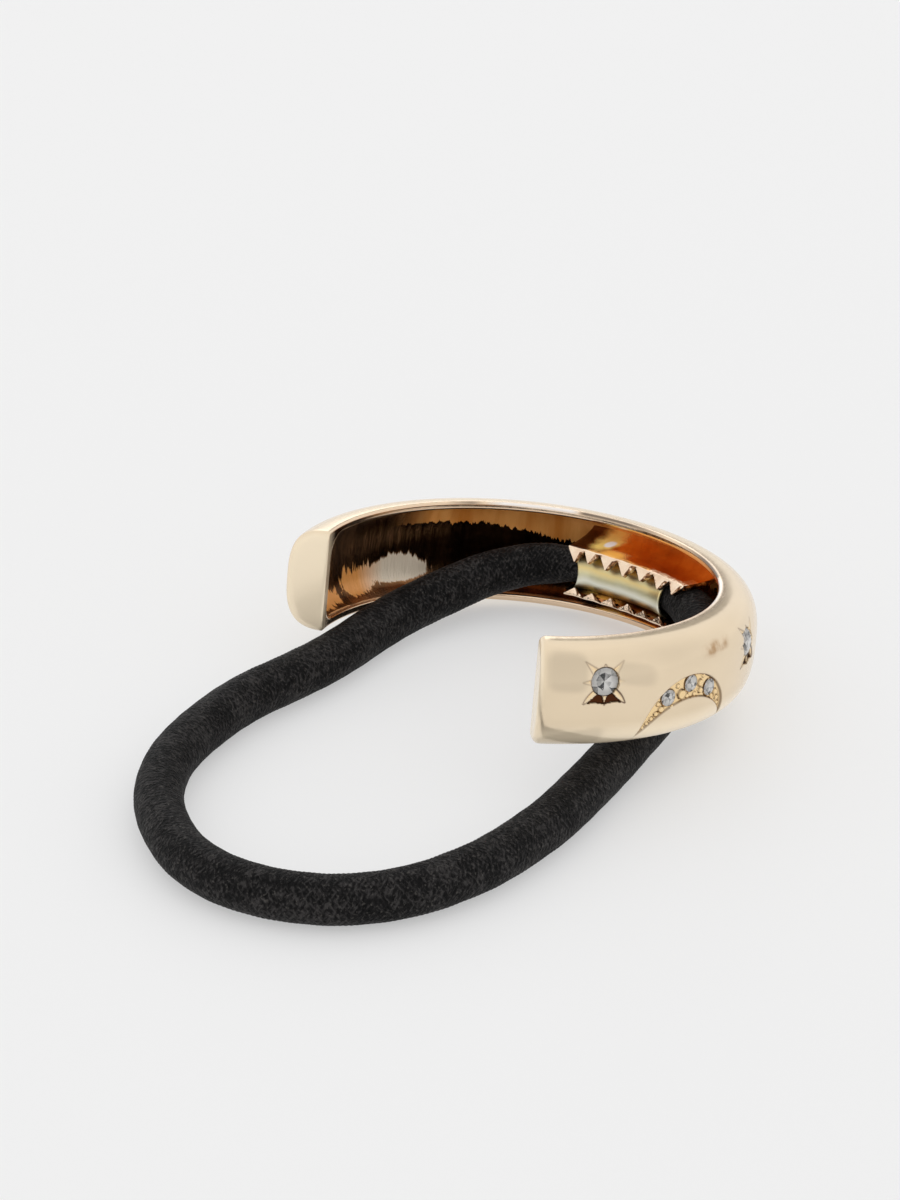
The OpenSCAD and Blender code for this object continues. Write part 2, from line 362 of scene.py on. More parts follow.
def elasticMaterial(e):
    material, shader = newMaterial("elasticKnit", (0.012, 0.012, 0.013), 0.0, 0.62)
    here = objectPoint(shader)
    around = 2 * math.pi * e["freeRadius"]
    unrolled = vectorMath("MULTIPLY", addNode(shader, "ShaderNodeTexCoord").outputs["UV"],
                          (e["length"] / mm, around, 1))

    def hatch(lean):
        turned = addNode(shader, "ShaderNodeVectorRotate", {"rotation_type": "Z_AXIS"}, _0=unrolled,
                         Angle=math.radians(lean)).outputs[0]
        return addNoise(vectorMath("DIVIDE", turned, (e["hatchPitch"], e["hatchLong"], 1)), 1.0, 2, 0.6)

    lines = most(hatch(e["hatchLean"]), hatch(-e["hatchLean"]))
    blotch = addNoise(here, 420, 4)
    fibre = addNoise(here, 4200, 2)
    # painted shade: the knit is darker in the valleys between its ribs and lighter on their crests
    tone = compute("MULTIPLY_ADD", read(shader, "cover"), 0.12, lines)
    tone = compute("MULTIPLY_ADD", blotch, 0.4, tone)
    color = ramp(tone, (0.66, 0.0006), (0.8, 0.0055, 0.005, 0.005), (0.96, 0.04, 0.037, 0.036))
    speck = compute("MULTIPLY", ramp(fibre, (0.6, 0), (0.7, 1)), 0.4)
    plug(shader, "Base Color", mixed(speck, color, (0.12, 0.11, 0.1, 1)))
    shader.inputs["Sheen Weight"].default_value = 0.025
    shader.inputs["Sheen Roughness"].default_value = 0.3
    shader.inputs["Specular IOR Level"].default_value = 0.12
    woven = addBump(shader, lines, 0.0004)
    addBump(shader, fibre, 0.00006, 0.8, before=woven)
    return material


def makeElastic(e):
    line, even, marks = smoothRoute(e["route"], e["rings"] + 1)
    bm = flatSheet(e["rings"], e["sides"])
    placeVerts(bm, placeElastic(e, line, even, marks))
    weld(bm)
    closeEnds(bm)
    piece = keepPiece(bm, "elastic", [elasticMaterial(e)], ["elastic_loop"])
    print("elastic", len(piece.data.polygons), "faces, run", round(even[-1], 2), "mm")


makeElastic(elastic)


# cuff

cuff = {
    "innerRadius": 15.9,
    "depth": 3.4,
    "halfWidth": 4.25,
    "squareness": 2.9,
    "lip": 0.65,
    "wall": 1.0,
    "leftTurn": 126.5,
    "rightTurn": 123.2,
    "endWall": 0.9,
    "endRound": 0.55,
    "openRound": 0.1,
    "lipRound": 0.2,
    "pocketTop": 2.3,     # radius of the channel's upper corner at each end
    "pocketFoot": 1.5,
    "pocketRun": 1.3,     # length over which the channel gets its full depth
    "pocketPower": 2.6,   # higher is squarer
    "faceMiddle": 1.25,   # reach of the point that an end face's rings close on
    "ripple": 0.012,      # unevenness of the channel's floor
    "patches": [          # painted reflections, darker places on the crown: turn, height, their halves, lean, softness, strength
        (116.8, 2.3, 4.8, 1.45, 0.02, 0.2, 0.7), (99.5, 2.0, 5.0, 0.85, 0.05, 0.3, 0.55),
        (115.0, -3.3, 8.0, 0.8, -0.07, 0.15, 0.5), (85.0, 2.9, 12.0, 0.8, 0.02, 0.8, 0.3),
    ],
    "smudge": (73.5, 2.75, 4.6, 0.42, -0.02, 0.5),     # a painted brown reflection, with the same values as a patch but strength
    "crownColumns": 56,
    "channelColumns": 26,
    "ringStep": 0.22,
    "finer": 3,           # cuts that the faces round the ornaments get
    "tiltBack": 9.2,
    "tiltSide": 4.0,
    "setDown": (0.0, -3.73, 7.0865),      # how far it is moved after its tilts
}

stars = {
    "turns": [107.7, 56.5, 0.0, -56.5, -107.7],
    "rise": 1.6,
    "stone": 2.2,
    "around": 2.75,       # radius within which the crown gets finer faces
    "root": 1.05,
    "rays": [               # angle, reach, half width, 1 for a leaf, painted shade along its outline
        (0, 1.66, 0.22, 0, 0.1), (45, 2.28, 0.3, 0, 0.35), (90, 1.42, 0.2, 0, 0.7),
        (135, 2.3, 0.34, 0, 0.5), (180, 1.9, 0.26, 0, 0.35), (225, 2.5, 0.33, 1, 0.8),
        (270, 1.88, 0.26, 0, 0.8), (315, 2.52, 0.33, 1, 1.0),
    ],
    "shallow": 0.42,      # slopes of a ray's two cut faces
    "steep": 1.0,
    "webFoot": -1.78,     # the hollow between the three lowest rays, with painted shade in it
    "webScallop": 0.12,
    "webDeep": 0.2,
    "line": 0.055,
}

moons = {
    "turns": [83.1, 28.5, -28.5, -83.1],
    "outer": 4.7,
    "top": 1.25,
    "innerRatio": 1.14,
    "width": 2.0,
    "inset": 0.8,
    "stone": 1.36,
    "step": 37,
    "deep": 0.22,
    "slope": 0.14,        # width over which the hollow gets its depth
    "rim": 0.07,          # height of the raised line round it
    "margin": 0.3,        # how far outside its outline the crown is still shaped
    "beadTop": 0.12,      # the most that a bead stands over the crown
    "beads": [            # across, up and radius
        (-1.0, -0.24, 0.4), (1.1, 0.3, 0.3), (1.2, -0.34, 0.26), (-0.35, -0.5, 0.2), (0.5, -0.5, 0.2),
        (-2.0, -1.05, 0.2), (-2.95, -1.2, 0.27), (-3.38, -1.55, 0.22), (-3.74, -1.92, 0.2),
        (-4.06, -2.3, 0.17), (-4.3, -2.68, 0.14), (-1.45, 0.5, 0.2), (3.2, -0.92, 0.26),
        (3.56, -1.5, 0.22), (3.86, -2.05, 0.18), (4.08, -2.52, 0.14), (-3.3, -0.72, 0.2),
        (1.45, 0.82, 0.18), (2.7, -1.1, 0.22),
    ],
}

seat = {
    "slack": 0.03,        # how much wider than its stone a seat is
    "deep": 0.28,         # of the stone's size
    "under": 0.04,
}

restPose = (Matrix.Translation(cuff["setDown"])
            @ Matrix.Rotation(math.radians(-cuff["tiltBack"]), 4, "X")
            @ Matrix.Rotation(math.radians(-cuff["tiltSide"]), 4, "Y"))
restTurn = np.array(restPose.to_3x3())
restMove = np.array(restPose.translation)
power = 2 / cuff["squareness"]


def setToRest(points):
    return (points @ restTurn.T + restMove) * mm


def squircle(angle):
    # share of the depth and of the half width at an angle round the band's outline
    return np.abs(np.cos(angle)) ** power, np.sign(angle) * np.abs(np.sin(angle)) ** power


def evenAngles(fine, depth, half, count, trim=-1.0):
    # angles in even steps along that outline, without what reaches no further out than trim
    reach, tall = squircle(fine)
    run = runAlong(np.stack([depth * reach, half * tall], axis=1))
    kept = run[depth * reach > trim]
    return np.interp(np.linspace(kept[0], kept[-1], count + 1), run, fine)


def pick(where, values):
    # the value of a row or column, or between two
    return np.interp(where, np.arange(len(values)), values)


def hump(value, middle, width):
    return np.exp(-((value - middle) / width) ** 2)


def onBand(turn, reach, height):
    # a point at a turn from the closed end, a reach from the open side and a height over the band's middle
    angle = np.radians(turn)
    out = cuff["innerRadius"] + reach
    return np.stack([out * np.sin(angle), out * np.cos(angle), height + 0 * out], axis=-1)


def crownAt(height):
    share = np.clip(np.abs(height) / cuff["halfWidth"], 0, 1) ** cuff["squareness"]
    return cuff["depth"] * (1 - share) ** (1 / cuff["squareness"])


def crownLean(height):
    # how far the crown leans back there
    return math.atan((crownAt(height - 0.05) - crownAt(height + 0.05)) / 0.1)


def fromSpot(turn, height, spotTurn, spotHeight):
    # where a point of the crown is, seen square on at a spot: across towards lower turns, and up
    angle = np.radians(turn - spotTurn)
    out = cuff["innerRadius"] + crownAt(height)
    lean = crownLean(spotHeight)
    across = -out * np.sin(angle)
    inward = out * np.cos(angle) - (cuff["innerRadius"] + crownAt(spotHeight))
    up = (height - spotHeight) * math.cos(lean) - inward * math.sin(lean)
    return np.where(np.cos(angle) > 0.8, across, 99), up     # 99 on the other side of the cuff


def ramped(value, low, high):
    share = np.clip((value - low) / (high - low), 0, 1)
    return share * share * (3 - 2 * share)


def seatDepth(across, up, size):
    away = np.hypot(across, up)
    radius = size / 2 + seat["slack"]
    return (seat["deep"] * size + seat["under"]) * (1 - ramped(away, radius - 0.02, radius + 0.04))


def starDepth(s, across, up):
    # depth of the cuts, and the painted shade along their lines, in their hollows and round the stone
    depth, ink, covered = (np.zeros_like(across) for _ in range(3))
    for degrees, reach, wide, leaf, dark in s["rays"]:
        angle = math.radians(degrees)
        along = across * math.cos(angle) + up * math.sin(angle)
        beside = up * math.cos(angle) - across * math.sin(angle)
        if math.cos(angle) < -0.01:
            beside = -beside              # the steep face of every ray is its upper one
        share = np.clip((along - s["root"]) / (reach - s["root"]), 0, 1)
        half = wide * (1 - share) * (0.7 + 1.3 * share if leaf else 1)
        edge = np.where((along > 0.5) & (along < reach), half - np.abs(beside), -9)
        cut = np.minimum(s["shallow"] * (half + beside), s["steep"] * (half - beside))
        depth = np.maximum(depth, np.where(edge > 0, cut, 0))
        covered = np.maximum(covered, edge > 0.04)
        # painted shade along each ray's edge
        ink = np.maximum(ink, dark * hump(edge, 0, s["line"]))
    foot = s["webFoot"] + s["webScallop"] * np.abs(np.sin(across * 1.75))
    web = (up < -0.9) & (up > foot) & (np.abs(across) < -up - 0.25) & (covered < 0.5)
    depth = np.where(web, np.maximum(depth, s["webDeep"]), depth)
    # painted shade in the hollow
    ink = np.where(web, 1.0, ink)
    away = np.hypot(across, up) - s["stone"] / 2
    # painted shadow round the stone, darker on its upper side and towards higher turns
    shade = np.clip(0.55 - 0.45 * across / 1.2 + 0.3 * up / 1.2, 0.15, 1)
    ink = np.maximum(ink, shade * hump(away, 0.03, 0.075))
    return depth, ink


def moonEdge(m, across, up):
    # distance inside the crescent's outline
    outer = m["outer"] - np.hypot(across, up - (m["top"] - m["outer"]))
    innerRadius = m["outer"] * m["innerRatio"]
    inner = np.hypot(across, up - (m["top"] - m["width"] - innerRadius)) - innerRadius
    return np.minimum(outer, inner)


def moonDepth(m, across, up):
    edge = moonEdge(m, across, up)
    floor = m["deep"] * ramped(edge, 0.0, m["slope"])
    depth = floor
    # painted shade just inside the crescent's outline
    ink = 0.75 * hump(edge, 0.07, 0.06)
    for x, y, size in m["beads"]:
        away = np.hypot(across - x, up - y) / size
        bead = m["deep"] - 0.95 * size * np.sqrt(np.clip(1 - away ** 2, 0, 1))
        inside = (away < 1) & (edge > -0.05)
        depth = np.where(inside, np.minimum(depth, np.maximum(bead, -m["beadTop"])), depth)
        # painted shade round each bead, none on its top
        ink = np.where(away < 0.75, 0, np.maximum(ink, 0.8 * hump(away, 1, 0.16) * (edge > 0)))
    rim = m["rim"] * hump(edge, -0.09, 0.08)
    return depth - rim, floor, ink


def moonStoneSpots(m, turn):
    reach = m["outer"] - m["inset"]
    spots = []
    for angle in np.radians((-m["step"], 0, m["step"])):
        across = reach * math.sin(angle) / (cuff["innerRadius"] + cuff["depth"])
        spots.append((turn - math.degrees(across), m["top"] - m["outer"] + reach * math.cos(angle)))
    return spots


def ornamentDepth(turn, height):
    # depth of the engraving, 1 where the metal is cut or cast down, 1 near an ornament, and painted shade
    # along lines, in hollows and round the stones
    depth, cut, near, ink = (np.zeros_like(turn) for _ in range(4))
    for spot in stars["turns"]:
        across, up = fromSpot(turn, height, spot, stars["rise"])
        star, lines = starDepth(stars, across, up)
        depth = np.maximum(depth, np.maximum(star, seatDepth(across, up, stars["stone"])))
        ink = np.maximum(ink, lines)
        near = np.maximum(near, np.hypot(across, up) < stars["around"])
    for spot in moons["turns"]:
        across, up = fromSpot(turn, height, spot, 0.0)
        moon, floor, lines = moonDepth(moons, across, up)
        inside = (moonEdge(moons, across, up) > -moons["margin"]) & (across < 90)
        depth = np.where(inside, moon, depth)
        ink = np.where(inside, lines, ink)
        cut = np.maximum(cut, np.where(inside, floor / moons["deep"], 0))
        near = np.maximum(near, inside)
        for stoneTurn, stoneHeight in moonStoneSpots(moons, spot):
            across, up = fromSpot(turn, height, stoneTurn, stoneHeight)
            depth = np.maximum(depth, seatDepth(across, up, moons["stone"]))
            away = np.hypot(across, up) - moons["stone"] / 2
            # painted shadow round each stone, darker on its upper side and towards higher turns
            shade = np.clip(0.5 - 0.5 * across / 0.7 + 0.5 * up / 0.7, 0.1, 1)
            ink = np.maximum(ink, shade * hump(away, 0.04, 0.07))
    cut = np.maximum(cut, np.clip(depth / 0.2, 0, 1))
    return depth, cut, near, ink


def ringStations(c):
    # turn, distance from the nearer end and share of the end face's size, for every ring
    faceRings = [(0.0, share) for share in (0.0, 0.14, 0.28, 0.42, 0.56, 0.7, 0.84, 1.0)]
    corner = [c["endRound"] * (1 - math.cos(q)) for q in np.radians(np.arange(15, 91, 15))]
    pocket = [c["endWall"] + c["pocketTop"] * (1 - math.cos(q)) for q in np.radians(np.arange(4, 91, 7))]
    steps = sorted(corner + [c["endWall"] - 0.03, c["endWall"], c["endWall"] + 0.012] + pocket)
    steps = [d for k, d in enumerate(steps) if k == 0 or d - steps[k - 1] > 0.009]
    halves = []
    for end, side in ((c["leftTurn"], -1), (c["rightTurn"], 1)):
        middle = math.radians(end) * c["innerRadius"]
        count = int((middle - steps[-1]) / c["ringStep"])
        band = steps + list(np.linspace(steps[-1], middle, count + 1)[1:])
        near, share = np.array(faceRings + [(d, 1.0) for d in band]).T
        half = np.stack([side * (end - np.degrees(near / c["innerRadius"])), near, share])
        halves.append(half if side < 0 else half[:, -2::-1])
    return np.concatenate(halves, axis=1)


def spotShade(turn, height, patch):
    spotTurn, spotHeight, halfTurn, halfHeight, lean, soft = patch
    across = turn - spotTurn
    away = (across / halfTurn) ** 4 + ((height - spotHeight - lean * across) / halfHeight) ** 4
    return 1 - ramped(away ** 0.25, 1 - soft, 1 + soft)


def rounding(radius, near):
    # how far a rounded edge draws the surface in, at a distance from the edge
    rest = np.clip(radius - near, 0, radius)
    return radius - np.sqrt(radius ** 2 - rest ** 2)


def pocketHalf(c, near, radius):
    return c["halfWidth"] - c["lip"] - rounding(radius, near - c["endWall"])


def placeCuff(c):
    turns, nears, shares = ringStations(c)
    nCrown, nChannel = c["crownColumns"], c["channelColumns"]
    lipColumns = 9    # three round the outer edge, three along the flat, three round the inner edge
    total = nCrown + 2 * lipColumns + nChannel
    arc = np.radians([30, 60, 90])
    quarter = math.pi / 2
    crown = evenAngles(np.linspace(-quarter, quarter, 4001), c["depth"], c["halfWidth"], nCrown,
                       c["lipRound"])
    channel = evenAngles(np.linspace(quarter, -quarter, nChannel + 1), c["depth"] - c["wall"],
                         c["halfWidth"] - c["lip"], nChannel)

    def place(rows, columns):
        turn, near, share = (pick(rows, values) for values in (turns, nears, shares))
        column = np.where(columns > total - 1e-6, 0, columns)
        inset = rounding(c["endRound"], near)
        half = c["halfWidth"] - inset
        past = np.clip((near - c["endWall"]) / c["pocketRun"], 0, 1)
        deep = (c["depth"] - c["wall"]) * (1 - (1 - past) ** c["pocketPower"]) ** (1 / c["pocketPower"])
        soft = np.minimum(c["lipRound"], deep)

        # crown
        shareOut, shareUp = squircle(pick(column, crown))
        reachOut = (c["depth"] - inset) * shareOut
        tallOut = half * shareUp
        steepR = shareOut ** (c["squareness"] - 1) / c["depth"]
        steepH = np.sign(shareUp) * np.abs(shareUp) ** (c["squareness"] - 1) / c["halfWidth"]
        size = np.hypot(steepR, steepH)
        isCrown = column <= nCrown
        depth, cut, _, ink = ornamentDepth(turn, tallOut)
        worked = isCrown & (share > 0.99)
        depth = np.where(worked, depth, 0)
        reachR = reachOut - depth * steepR / size
        tallH = tallOut - depth * steepH / size

        # lips, the upper one first and the lower one in the reverse order
        upper = (1.0, c["pocketTop"], column - nCrown)
        lower = (-1.0, c["pocketFoot"], total - column)
        for sign, corner, local in (upper, lower):
            inner = pocketHalf(c, near, corner)
            for k in range(1, lipColumns + 1):
                here = np.abs(local - k) < 1e-6
                if k <= 3:
                    r = c["lipRound"] * (1 - math.sin(arc[k - 1]))
                    h = half - c["lipRound"] * (1 - math.cos(arc[k - 1]))
                elif k <= 6:
                    r = 0.0
                    h = half - c["lipRound"] + (inner + 2 * c["lipRound"] - half) * (k - 3) / 3
                else:
                    r = soft * (1 - math.cos(arc[k - 7]))
                    h = inner + c["lipRound"] * (1 - math.sin(arc[k - 7]))
                reachR = np.where(here, r, reachR)
                tallH = np.where(here, sign * h, tallH)

        # channel
        isChannel = (column > nCrown + lipColumns + 1e-6) & (column < total - lipColumns - 1e-6)
        rise = pick(column - nCrown - lipColumns, channel)
        shareIn, shareUp = squircle(rise)
        inner = np.where(rise > 0, pocketHalf(c, near, c["pocketTop"]), pocketHalf(c, near, c["pocketFoot"]))
        ripple = c["ripple"] * np.sin(turn * 2.3 + 2.2 * rise) * np.cos(rise) * (near > 2)
        reachR = np.where(isChannel, soft + (deep - soft) * shareIn + ripple, reachR)
        tallH = np.where(isChannel, inner * shareUp, tallH)

        # the open side's own edge, then the rings that close the end face
        reachR = reachR + rounding(c["openRound"], near) * np.clip(1 - reachR, 0, 1) ** 2
        reachR = c["faceMiddle"] + (reachR - c["faceMiddle"]) * share
        tallH = tallH * share
        points = setToRest(onBand(turn, reachR, tallH))

        # values for the looks
        isLip = (~isCrown) & (~isChannel)
        edge = np.where(isLip, 1.0, np.clip(1 - reachOut / 0.8, 0, 1) * isCrown) * np.clip(near - 0.6, 0, 1)
        # painted reflections: darker patches on the crown
        shade = np.zeros_like(turn)
        for *patch, strength in c["patches"]:
            shade = np.maximum(shade, strength * spotShade(turn, tallOut, patch) * isCrown)
        local = column - nCrown
        return points, {
            "edge": edge,
            "channel": np.where(isChannel, np.clip(deep, 0, 1), 0),
            "cut": np.where(worked, cut, 0),
            "ink": np.where(worked, ink, 0),
            "rise": np.where(isChannel, rise, 0),
            "turn": np.abs(turn),
            "shade": shade,
            "smudge": spotShade(turn, tallOut, c["smudge"]) * isCrown,
            "streak": np.where((local > -1) & (local < 3.5), 1.0 - np.abs(local - 1.5) / 2.2, 0),
            # painted light: the lower crown and the end faces are made lighter
            "pale": np.maximum(ramped(-tallOut, 1.6, 3.0) * isCrown * 0.9, np.clip(1 - near / 0.3, 0, 1)),
        }

    def isOrnament(rows, columns):
        tall = c["halfWidth"] * squircle(pick(columns, crown))[1]
        near = ornamentDepth(pick(rows, turns), tall)[2]
        return (near > 0) & (columns < nCrown)

    return len(turns) - 1, total, place, isOrnament


def channelLook(shader):
    # painted reflections: dark where the channel would see the elastic, with ragged bright bands and patches
    # where it would see the light
    angle, turn = read(shader, "rise"), read(shader, "turn")
    place = addNode(turn, "ShaderNodeCombineXYZ", X=turn, Y=compute("MULTIPLY", angle, 1.4)).outputs[0]
    ragged = addNoise(place, 0.9, 6, 0.65)
    cloudy = addNoise(place, 0.16, 4)
    loose = compute("SUBTRACT", ragged, 0.5)
    high = compute("MULTIPLY_ADD", loose, 0.45, angle)
    share = compute("DIVIDE", turn, 124.0)
    band = compute("GREATER_THAN", high, mapped(share, 0.32, 0.5, 0.12, 0.36))
    band = compute("MULTIPLY", band, ramp(share, (0.6, 1), (0.7, 0)))

    def patchAt(middle, half, rough):
        return blob(turn, angle, middle, half, 0.08, compute("MULTIPLY", loose, rough))

    patch = most(patchAt((84.0, -0.5), (9.0, 0.4), 0.8), patchAt((97.0, -0.7), (6.0, 0.5), 2.4),
                 patchAt((111.0, -1.0), (6.0, 0.4), 2.6))
    lit = most(band, patch)
    dark = ramp(cloudy, (0.38, 0.1, 0.05, 0.025), (0.7, 0.42, 0.21, 0.09))
    bandGlow = ramp(cloudy, (0.35, 0.75, 0.27, 0.05), (0.6, 1.0, 0.46, 0.13))
    patchGlow = ramp(share, (0.71, 1.0, 0.88, 0.7), (0.78, 1.0, 0.45, 0.13))
    return mixed(lit, dark, mixed(patch, bandGlow, patchGlow)), lit, ragged


def goldMaterial():
    material, shader = newMaterial("champagneGold", (0.952, 0.785, 0.574), 1.0, 0.14)
    here = objectPoint(shader)
    names = "edge channel cut ink turn shade smudge streak pale"
    edge, channel, cut, ink, turn, shade, smudge, streak, pale = (read(shader, n) for n in names.split())
    inside, lit, ragged = channelLook(shader)
    # a painted brown reflection on the crown, its edge ragged by a noise
    brownReflectionShare = compute("MULTIPLY", smudge, ramp(addNoise(here, 900), (0.35, 1), (0.62, 0.1)))
    # painted reflections along the upper lip's outer edge: a painted highlight where it would see the lamp,
    # a painted dark streak beside that
    share = compute("DIVIDE", turn, 100.0)
    paintedHighlight = compute("MULTIPLY", streak, ramp(share, (0.33, 0), (0.36, 1), (0.56, 1), (0.62, 0)))
    paintedDarkStreak = compute("MULTIPLY", streak, ramp(share, (0.02, 0), (0.17, 1), (0.32, 1), (0.34, 0), (0.62, 0),
                                            (0.66, 0.8), (0.74, 0)))
    color = ramp(addNoise(here, 260, 2), (0.3, 0.82, 0.67, 0.475), (0.7, 0.85, 0.695, 0.495))
    plug(shader, "Base Color", layered(color, (
        # painted light on the lower crown and the end faces
        (pale, (1.0, 0.85, 0.63, 1)),
        # painted reflections, darker beige patches
        (compute("MULTIPLY", shade, 0.9), (0.59, 0.49, 0.35, 1)),
        # the painted brown reflection
        (brownReflectionShare, (0.42, 0.24, 0.1, 1)),
        (edge, (0.82, 0.62, 0.44, 1)),
        # painted highlight and painted dark streak on the upper lip
        (paintedHighlight, (1, 1, 1, 1)),
        (paintedDarkStreak, (0.035, 0.02, 0.015, 1)),
        # painted reflections inside the channel
        (channel, inside),
        (cut, (0.95, 0.7, 0.38, 1)),
        # painted shade in the engraving's lines and hollows and round the stones
        (ink, (0.07, 0.022, 0.008, 1)),
    )))
    grain = addNoise(here, 2600)
    plug(shader, "Roughness", ramp(grain, (0.3, 0.12), (0.75, 0.22)))
    # where its color is painted on, the metal reflects less
    painted = most(compute("MULTIPLY", lit, channel), compute("MULTIPLY", pale, 0.4), paintedHighlight, paintedDarkStreak)
    polish = mapped(most(edge, channel, cut), 0, 1, 0.55, 1.0)
    plug(shader, "Metallic", compute("MULTIPLY_ADD", painted, -0.85, polish))
    wave = addBump(shader, addNoise(here, 160, 1), 0.00012, 0.35)
    ripple = addBump(shader, compute("MULTIPLY", ragged, channel), 0.00012, 0.8, before=wave)
    addBump(shader, grain, 0.000012, 0.3, before=ripple)
    return material


gold = goldMaterial()


def makeCuff(c):
    rings, columns, place, isOrnament = placeCuff(c)
    bm = flatSheet(rings, columns)
    wanted = isOrnament(*np.array([f.calc_center_median()[:2] for f in bm.faces]).T)
    edges = {e for f, want in zip(bm.faces, wanted) if want for e in f.edges}
    bmesh.ops.subdivide_edges(bm, edges=list(edges), cuts=c["finer"], use_grid_fill=True)
    placeVerts(bm, place)
    weld(bm)
    piece = keepPiece(bm, "cuff_shell", [gold], ["cuff"], sharp=55)
    print("cuff", len(piece.data.polygons), "faces")


makeCuff(cuff)


# clamp

clamp = {
    "turn": -15.8,        # where it runs level with the cuff
    "bend": 28.0,
    "reach": 14.75,       # from the cuff's axis to the ferrule's middle there
    "upper": (-4.2, 1.8, 7),      # start, step and number of the teeth
    "lower": (-4.25, 1.86, 6),
    "half": 2.1,
    "front": -1.75,
    "sheet": 0.42,
    "fold": 0.1,
    "upperTip": 1.12,     # height of the teeth's points over the ferrule's middle
    "lowerTip": 1.42,     # and below it
    "upperLean": -0.45,   # how far the points lean in towards the ferrule
    "lowerLean": 0.1,
    "tipShare": 0.06,     # width left at a tooth's point
    "rows": 6,
    "cells": 6,
    "bevel": 0.04,
    "bevelFrom": 50,      # degrees between two faces from which their edge is bevelled
    "wave": 0.02,         # unevenness of the folded edge
    "intoWall": 0.3,      # how far into the cuff's wall an arm would go at its full length
    # shares of an arm's full length, and how far it has risen there
    "arm": [(0.12, 0.02), (0.35, 0.05), (0.6, 0.16), (0.8, 0.42), (0.92, 0.8), (0.94, 0.86)],
    # how crooked each tooth is, and how far each upper one is off its even place
    "wobble": [0.03, -0.04, 0.02, 0.04, -0.03, 0.015, -0.03],
    "upperShift": [0.0, -0.4, -0.4, -0.28, -0.05, 0.27, 0.38],
}


def inClamp(c, along, out, up):
    # from a place along the clamp's bend, out from the hair and up, to the rest pose
    start = math.radians(c["turn"])
    angle = start + along / c["bend"]
    hub = c["reach"] - c["bend"]
    reach = c["bend"] + out
    return setToRest(np.stack([hub * math.sin(start) + reach * np.sin(angle),
                               hub * math.cos(start) + reach * np.cos(angle), up], axis=-1))


def armBack(c, along):
    # how far out an arm would go at its full length
    middle = c["bend"] - c["reach"]
    angle = along / c["bend"]
    floor = cuff["innerRadius"] + cuff["depth"] - cuff["wall"] + c["intoWall"]
    return math.sqrt(floor ** 2 - (middle * math.sin(angle)) ** 2) + middle * math.cos(angle) - c["bend"]


def makeArm(c, which):
    start, step, count = c[which]
    lean, tip = c[which + "Lean"], c[which + "Tip"]
    side = 1 if which == "upper" else -1
    root = c["half"] - c["fold"]
    folded = [(0.0, root)]
    for q in np.radians([30, 60, 90]):
        folded.append((c["fold"] * (1 - math.cos(q)), root + c["fold"] * math.sin(q)))
    cells, rows = c["cells"], c["rows"]
    bm = flatSheet(count * cells, len(folded) - 1 + len(c["arm"]))
    flankLayer, alongLayer, shareLayer = (bm.verts.layers.float.new(n) for n in ("flank", "along", "share"))
    for k in range(count):
        middle = (k + 0.5) * cells
        for vert in addGrid(bm, cells, rows, corner=(k * cells, -rows, 0)):
            gone = -vert.co.y / rows
            vert[flankLayer] = (vert.co.x - middle) / cells * 2
            narrow = (1 - gone) * (1 - c["tipShare"]) + c["tipShare"] if gone > 0 else 1
            across = middle + (vert.co.x - middle) * narrow + c["wobble"][k] * 4 * gone
            vert.co = (across, -gone * (1 + 2 * c["wobble"][k]) - 0.001 * (gone > 0), 0)
    for vert in bm.verts:
        u, v = vert.co.x, vert.co.y
        along = start + step * u / cells
        if which == "upper":
            along += float(pick(u / cells - 0.5, c["upperShift"]))
        wave = c["wave"] * math.sin(2 * math.pi * u / cells + 1)
        if v <= 0:
            out, up = c["front"] - lean * v, root + (root - tip) * v
        elif v < len(folded):
            out, up = folded[int(round(v))]
            out, up = c["front"] + out, up + wave
        else:
            share, rise = c["arm"][int(round(v)) - len(folded)]
            out = c["front"] + c["fold"] + (armBack(c, along) - c["front"] - c["fold"]) * share
            up = c["half"] + rise
            vert[shareLayer] = share
        vert[alongLayer] = along
        vert.co = inClamp(c, along, out, side * up)
    bmesh.ops.remove_doubles(bm, verts=bm.verts[:], dist=0.004 * mm)
    bmesh.ops.recalc_face_normals(bm, faces=bm.faces[:])
    bm.normal_update()
    middle, ahead = (Vector(inClamp(c, 0, out, 0)) for out in (0, -9))
    front = (ahead - middle).normalized()
    toothed = min(bm.faces, key=lambda f: (f.calc_center_median() - ahead).length)
    if toothed.normal.dot(front) < 0:
        bmesh.ops.reverse_faces(bm, faces=bm.faces[:])
    for face in bm.faces:
        out = (face.calc_center_median() - middle).dot(-front)
        face.material_index = 2 if out > (c["front"] + c["fold"]) * mm else 0
    sheet = set(bm.faces)
    bmesh.ops.solidify(bm, geom=bm.faces[:], thickness=c["sheet"] * mm)
    bmesh.ops.recalc_face_normals(bm, faces=bm.faces[:])
    bm.normal_update()
    for face in bm.faces:
        if face not in sheet and any(other in sheet for e in face.edges for other in e.link_faces):
            face.material_index = 1       # the stamped edge of the sheet
    sharp = math.radians(c["bevelFrom"])
    rims = [e for e in bm.edges if len(e.link_faces) == 2 and e.calc_face_angle(0) > sharp]
    bmesh.ops.bevel(bm, geom=rims, offset=c["bevel"] * mm, offset_type="OFFSET", segments=2,
                    profile=0.5, affect="EDGES", clamp_overlap=True, material=-1)
    piece = keepPiece(bm, which + "_teeth", [clampGold, stampedEdge, armGold], ["cuff"],
                      sharp=35)
    print(which, "teeth", len(piece.data.polygons), "faces")


